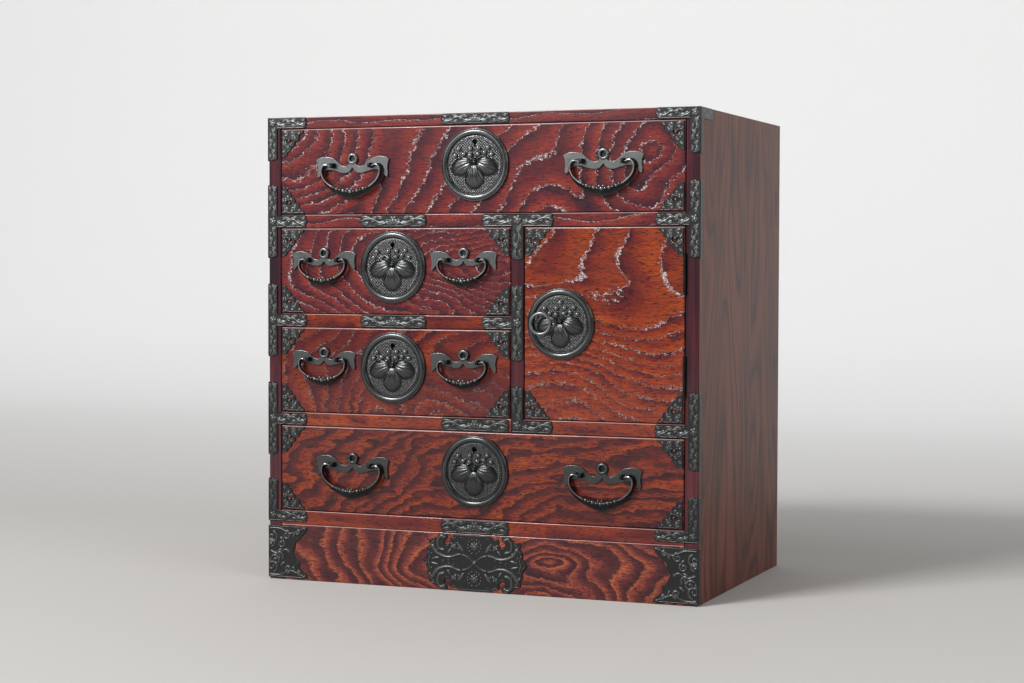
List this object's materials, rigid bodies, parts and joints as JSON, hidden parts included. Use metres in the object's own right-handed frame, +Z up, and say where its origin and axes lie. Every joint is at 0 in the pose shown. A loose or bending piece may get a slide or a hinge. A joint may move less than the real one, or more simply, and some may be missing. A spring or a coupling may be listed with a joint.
{
  "type": "small tansu",
  "caption": "Low wooden chest with wide and small drawers and one hinged door, iron corner plates, drop handles, round lock plates and a ring pull, on a plain plinth.",
  "frame": {"origin": "on the ground, at the middle of the overall box with everything closed", "axes": "+Z up, the front with its drawers and door faces -Y, +X to the right of someone facing it"},
  "size_m": [0.6836, 0.4476, 0.7],
  "materials": {
    "red_wood": "gloss lacquer over bold grain",
    "side_wood": "satin lacquer, upright grain",
    "inner_wood": "bare planed",
    "black_iron": "black satin, embossed",
    "bolt_steel": "plain"
  },
  "bodies": {
    "case": {"case_left_side": "side_wood", "case_right_side": "side_wood", "case_top": "side_wood", "case_bottom": "red_wood", "case_back": "inner_wood", "plinth_board": "red_wood", "upper_shelf": "red_wood", "middle_shelf": "red_wood", "lower_shelf": "red_wood", "divider": "red_wood", "top_left_corner_plate": "black_iron", "top_right_corner_plate": "black_iron", "left_upper_tee_plate": "black_iron", "left_middle_tee_plate": "black_iron", "left_lower_tee_plate": "black_iron", "right_upper_tee_plate": "black_iron", "right_lower_tee_plate": "black_iron", "divider_upper_tee_plate": "black_iron", "divider_middle_tee_plate": "black_iron", "divider_lower_angle_plate": "black_iron", "plinth_centre_plate": "black_iron", "lower_hinge_case_leaf": "black_iron", "upper_hinge_case_leaf": "black_iron"},
    "bottom_drawer": {"bottom_drawer_front": "red_wood", "bottom_drawer_box": "inner_wood", "bottom_drawer_lock_plate": "black_iron", "bottom_drawer_left_handle_plate": "black_iron", "bottom_drawer_right_handle_plate": "black_iron"},
    "bottom_drawer_left_bail": {"bottom_drawer_left_bail": "black_iron"},
    "bottom_drawer_right_bail": {"bottom_drawer_right_bail": "black_iron"},
    "bottom_drawer_lock_bolt": {"bottom_drawer_lock_bolt": "bolt_steel"},
    "lower_small_drawer": {"lower_small_drawer_front": "red_wood", "lower_small_drawer_box": "inner_wood", "lower_small_drawer_lock_plate": "black_iron", "lower_small_drawer_left_handle_plate": "black_iron", "lower_small_drawer_right_handle_plate": "black_iron"},
    "lower_small_drawer_left_bail": {"lower_small_drawer_left_bail": "black_iron"},
    "lower_small_drawer_right_bail": {"lower_small_drawer_right_bail": "black_iron"},
    "lower_small_drawer_lock_bolt": {"lower_small_drawer_lock_bolt": "bolt_steel"},
    "upper_small_drawer": {"upper_small_drawer_front": "red_wood", "upper_small_drawer_box": "inner_wood", "upper_small_drawer_lock_plate": "black_iron", "upper_small_drawer_left_handle_plate": "black_iron", "upper_small_drawer_right_handle_plate": "black_iron"},
    "upper_small_drawer_left_bail": {"upper_small_drawer_left_bail": "black_iron"},
    "upper_small_drawer_right_bail": {"upper_small_drawer_right_bail": "black_iron"},
    "upper_small_drawer_lock_bolt": {"upper_small_drawer_lock_bolt": "bolt_steel"},
    "top_drawer": {"top_drawer_front": "red_wood", "top_drawer_box": "inner_wood", "top_drawer_lock_plate": "black_iron", "top_drawer_left_handle_plate": "black_iron", "top_drawer_right_handle_plate": "black_iron"},
    "top_drawer_left_bail": {"top_drawer_left_bail": "black_iron"},
    "top_drawer_right_bail": {"top_drawer_right_bail": "black_iron"},
    "top_drawer_lock_bolt": {"top_drawer_lock_bolt": "bolt_steel"},
    "door": {"door_panel": "red_wood", "door_round_plate": "black_iron", "lower_hinge_door_leaf": "black_iron", "upper_hinge_door_leaf": "black_iron"},
    "door_ring": {"door_ring": "black_iron"}
  },
  "joints": [
    {"name": "bottom_drawer_slide", "type": "slide", "parent": "case", "child": "bottom_drawer", "axis": [0, -1, 0], "range_m": [0, 0.3]},
    {"name": "bottom_drawer_left_bail_hinge", "type": "hinge", "parent": "bottom_drawer", "child": "bottom_drawer_left_bail", "pos_m": [-0.198, -0.2191, 0.17881], "axis": [-1, 0, 0], "range_deg": [0, 105]},
    {"name": "bottom_drawer_right_bail_hinge", "type": "hinge", "parent": "bottom_drawer", "child": "bottom_drawer_right_bail", "pos_m": [0.198, -0.2191, 0.17881], "axis": [-1, 0, 0], "range_deg": [0, 105]},
    {"name": "bottom_drawer_lock_bolt_slide", "type": "slide", "parent": "bottom_drawer", "child": "bottom_drawer_lock_bolt", "axis": [0, 0, 1], "range_m": [0, 0.008]},
    {"name": "lower_small_drawer_slide", "type": "slide", "parent": "case", "child": "lower_small_drawer", "axis": [0, -1, 0], "range_m": [0, 0.3]},
    {"name": "lower_small_drawer_left_bail_hinge", "type": "hinge", "parent": "lower_small_drawer", "child": "lower_small_drawer_left_bail", "pos_m": [-0.24575, -0.2191, 0.33644], "axis": [-1, 0, 0], "range_deg": [0, 105]},
    {"name": "lower_small_drawer_right_bail_hinge", "type": "hinge", "parent": "lower_small_drawer", "child": "lower_small_drawer_right_bail", "pos_m": [-0.01775, -0.2191, 0.33644], "axis": [-1, 0, 0], "range_deg": [0, 105]},
    {"name": "lower_small_drawer_lock_bolt_slide", "type": "slide", "parent": "lower_small_drawer", "child": "lower_small_drawer_lock_bolt", "axis": [0, 0, 1], "range_m": [0, 0.008]},
    {"name": "upper_small_drawer_slide", "type": "slide", "parent": "case", "child": "upper_small_drawer", "axis": [0, -1, 0], "range_m": [0, 0.3]},
    {"name": "upper_small_drawer_left_bail_hinge", "type": "hinge", "parent": "upper_small_drawer", "child": "upper_small_drawer_left_bail", "pos_m": [-0.24575, -0.2191, 0.48556], "axis": [-1, 0, 0], "range_deg": [0, 105]},
    {"name": "upper_small_drawer_right_bail_hinge", "type": "hinge", "parent": "upper_small_drawer", "child": "upper_small_drawer_right_bail", "pos_m": [-0.01775, -0.2191, 0.48556], "axis": [-1, 0, 0], "range_deg": [0, 105]},
    {"name": "upper_small_drawer_lock_bolt_slide", "type": "slide", "parent": "upper_small_drawer", "child": "upper_small_drawer_lock_bolt", "axis": [0, 0, 1], "range_m": [0, 0.008]},
    {"name": "top_drawer_slide", "type": "slide", "parent": "case", "child": "top_drawer", "axis": [0, -1, 0], "range_m": [0, 0.3]},
    {"name": "top_drawer_left_bail_hinge", "type": "hinge", "parent": "top_drawer", "child": "top_drawer_left_bail", "pos_m": [-0.198, -0.2191, 0.62619], "axis": [-1, 0, 0], "range_deg": [0, 105]},
    {"name": "top_drawer_right_bail_hinge", "type": "hinge", "parent": "top_drawer", "child": "top_drawer_right_bail", "pos_m": [0.198, -0.2191, 0.62619], "axis": [-1, 0, 0], "range_deg": [0, 105]},
    {"name": "top_drawer_lock_bolt_slide", "type": "slide", "parent": "top_drawer", "child": "top_drawer_lock_bolt", "axis": [0, 0, 1], "range_m": [0, 0.008]},
    {"name": "door_hinge", "type": "hinge", "parent": "case", "child": "door", "pos_m": [0.3193, -0.2127, 0.3945], "axis": [0, 0, 1], "range_deg": [0, 170]},
    {"name": "door_ring_hinge", "type": "hinge", "parent": "door", "child": "door_ring", "pos_m": [0.105, -0.2196, 0.41], "axis": [-1, 0, 0], "range_deg": [0, 90]}
  ]
}
